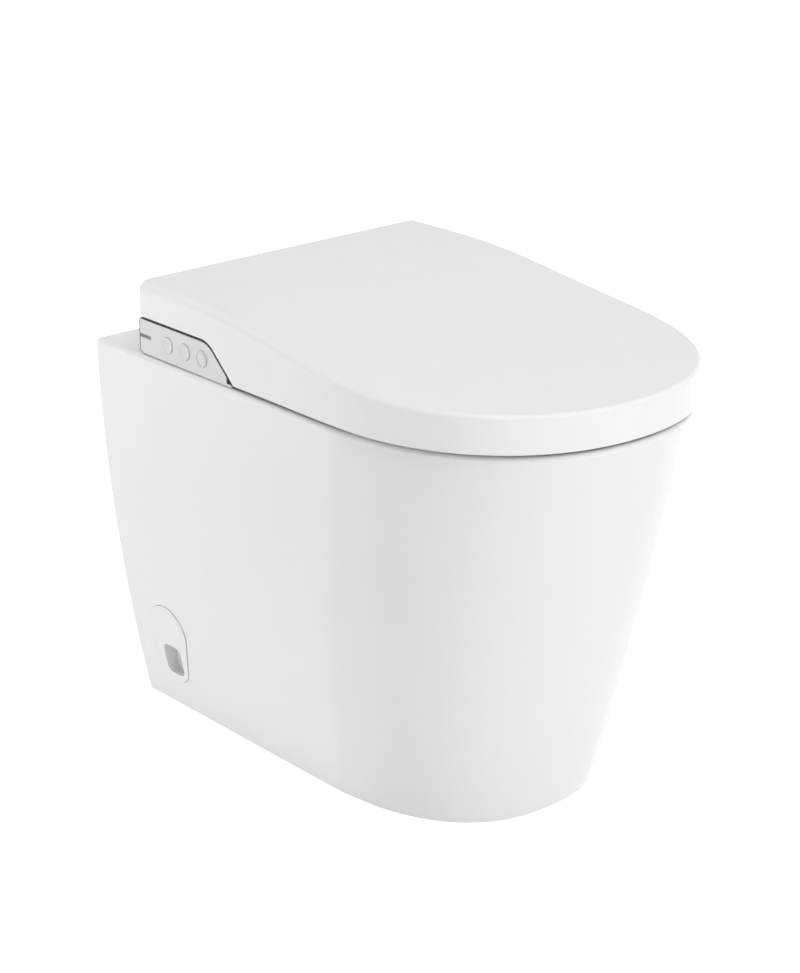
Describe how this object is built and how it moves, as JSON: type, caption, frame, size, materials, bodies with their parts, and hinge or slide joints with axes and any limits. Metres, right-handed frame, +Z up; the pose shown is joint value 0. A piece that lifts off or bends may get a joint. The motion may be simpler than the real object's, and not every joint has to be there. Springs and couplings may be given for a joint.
{
  "type": "smart toilet with heated seat",
  "caption": "Back-to-wall ceramic smart toilet with a hinged S-shaped lid, heated seat, side push buttons, sliding wash nozzles and pull-off side caps.",
  "frame": {"origin": "on the floor, in the middle of the toilet's own box", "axes": "+Z up, +Y towards the wall behind, X across, with the push buttons on the -X side"},
  "size_m": [0.3902, 0.5987, 0.4978],
  "materials": {
    "china": "glossy white glaze",
    "lid_plastic": "glossy white",
    "unit_plastic": "satin white",
    "panel_plastic": "satin pale grey",
    "cap_plastic": "satin white",
    "trim_black": "glossy black",
    "rubber_grey": "matt",
    "hose_rubber": "matt black",
    "clear_hose": "milky",
    "steel": "zinc plated",
    "nozzle_plastic": "polished",
    "tank_plastic": "natural",
    "works_plastic": "moulded dark grey",
    "motor_metal": "plain",
    "gear_plastic": "acetal",
    "heater_parts": "mica and foil",
    "heater_case": "moulded",
    "board_green": "lacquered board",
    "filter_black": "activated carbon"
  },
  "bodies": {
    "pan": {"ceramic_pan": "china", "floor_brackets": "steel", "side_fixing_screws": "steel", "equipment_frame": "steel", "flush_reservoir": "tank_plastic", "level_sensor": "tank_plastic", "inlet_valve": "works_plastic", "fill_hose": "hose_rubber", "power_inlet": "works_plastic", "flush_pump_housing": "works_plastic", "flush_pump_motor": "motor_metal", "flush_hose": "hose_rubber", "flush_spreader": "unit_plastic", "base_tray": "unit_plastic", "mounting_bolts": "steel", "unit_housing": "unit_plastic", "user_sensor_window": "trim_black", "hinge_pins": "steel", "seat_damper": "works_plastic", "lid_damper": "works_plastic", "control_side_panel": "panel_plastic", "plain_side_panel": "panel_plastic", "control_side_trim": "trim_black", "plain_side_trim": "trim_black", "status_lens": "trim_black", "button_board": "board_green", "nozzle_motors": "motor_metal", "nozzle_housing": "unit_plastic", "wash_valve": "works_plastic", "wash_pump": "works_plastic", "water_heater": "heater_case", "wash_hoses": "clear_hose", "dryer_housing": "works_plastic", "dryer_heater": "heater_parts", "deodoriser_housing": "works_plastic", "carbon_filter": "filter_black", "control_board": "board_green", "power_supply": "board_green"},
    "seat": {"seat_top_shell": "lid_plastic", "seat_bottom_shell": "lid_plastic", "seat_heater": "heater_parts", "seat_buffers": "rubber_grey"},
    "lid": {"lid_shell": "lid_plastic", "lid_inner_panel": "lid_plastic", "lid_buffers": "rubber_grey"},
    "flush_button": {"flush_button": "panel_plastic"},
    "wash_button": {"wash_button": "panel_plastic"},
    "stop_button": {"stop_button": "panel_plastic"},
    "rear_nozzle": {"rear_wash_nozzle": "nozzle_plastic"},
    "front_nozzle": {"front_wash_nozzle": "nozzle_plastic"},
    "rear_pinion": {"rear_nozzle_pinion": "gear_plastic"},
    "front_pinion": {"front_nozzle_pinion": "gear_plastic"},
    "dryer_flap": {"dryer_flap": "unit_plastic"},
    "dryer_impeller": {"dryer_impeller": "works_plastic"},
    "deodoriser_impeller": {"deodoriser_impeller": "works_plastic"},
    "flush_pump_impeller": {"flush_pump_impeller": "works_plastic"},
    "float": {"reservoir_float": "tank_plastic"},
    "cap_right": {"side_cap_right": "cap_plastic"},
    "cap_left": {"side_cap_left": "cap_plastic"}
  },
  "joints": [
    {"name": "seat_hinge", "type": "hinge", "parent": "pan", "child": "seat", "pos_m": [0, 0.2153, 0.442], "axis": [1, 0, 0], "range_deg": [-95, 0]},
    {"name": "lid_hinge", "type": "hinge", "parent": "seat", "child": "lid", "pos_m": [0, 0.2153, 0.442], "axis": [-1, 0, 0], "range_deg": [0, 95]},
    {"name": "flush_button_press", "type": "slide", "parent": "pan", "child": "flush_button", "axis": [1, 0, 0], "range_m": [0, 0.0012], "stiffness_N_per_m": 1500},
    {"name": "wash_button_press", "type": "slide", "parent": "pan", "child": "wash_button", "axis": [1, 0, 0], "range_m": [0, 0.0012], "stiffness_N_per_m": 1500},
    {"name": "stop_button_press", "type": "slide", "parent": "pan", "child": "stop_button", "axis": [1, 0, 0], "range_m": [0, 0.0012], "stiffness_N_per_m": 1500},
    {"name": "rear_nozzle_slide", "type": "slide", "parent": "pan", "child": "rear_nozzle", "axis": [0, -0.9511, -0.309], "range_m": [0, 0.09]},
    {"name": "front_nozzle_slide", "type": "slide", "parent": "pan", "child": "front_nozzle", "axis": [0, -0.9511, -0.309], "range_m": [0, 0.09]},
    {"name": "rear_pinion_spin", "type": "hinge", "parent": "pan", "child": "rear_pinion", "pos_m": [-0.01, 0.10409, 0.45293], "axis": [-1, 0, 0], "range_deg": [-1, 861]},
    {"name": "front_pinion_spin", "type": "hinge", "parent": "pan", "child": "front_pinion", "pos_m": [0.01, 0.10409, 0.45293], "axis": [-1, 0, 0], "range_deg": [-1, 861]},
    {"name": "dryer_flap_hinge", "type": "hinge", "parent": "pan", "child": "dryer_flap", "pos_m": [0.049, 0.08414, 0.4441], "axis": [-1, 0, 0], "range_deg": [0, 40]},
    {"name": "dryer_impeller_spin", "type": "hinge", "parent": "pan", "child": "dryer_impeller", "pos_m": [0.07, 0.14, 0.44], "axis": [0, 0, 1], "continuous": true},
    {"name": "deodoriser_impeller_spin", "type": "hinge", "parent": "pan", "child": "deodoriser_impeller", "pos_m": [0.13, 0.168, 0.44], "axis": [0, 0, 1], "continuous": true},
    {"name": "flush_pump_impeller_spin", "type": "hinge", "parent": "pan", "child": "flush_pump_impeller", "pos_m": [0.105, 0.182, 0.3], "axis": [0, 0, 1], "continuous": true},
    {"name": "float_rise", "type": "slide", "parent": "pan", "child": "float", "axis": [0, 0, 1], "range_m": [0, 0.07]},
    {"name": "cap_right_pull", "type": "slide", "parent": "pan", "child": "cap_right", "axis": [-1, 0, 0], "range_m": [0, 0.04]},
    {"name": "cap_left_pull", "type": "slide", "parent": "pan", "child": "cap_left", "axis": [1, 0, 0], "range_m": [0, 0.04]}
  ],
  "couplings": [
    {"joint": "rear_pinion_spin", "follows": "rear_nozzle_slide", "rad_per_m": 166.67},
    {"joint": "front_pinion_spin", "follows": "front_nozzle_slide", "rad_per_m": 166.67}
  ]
}
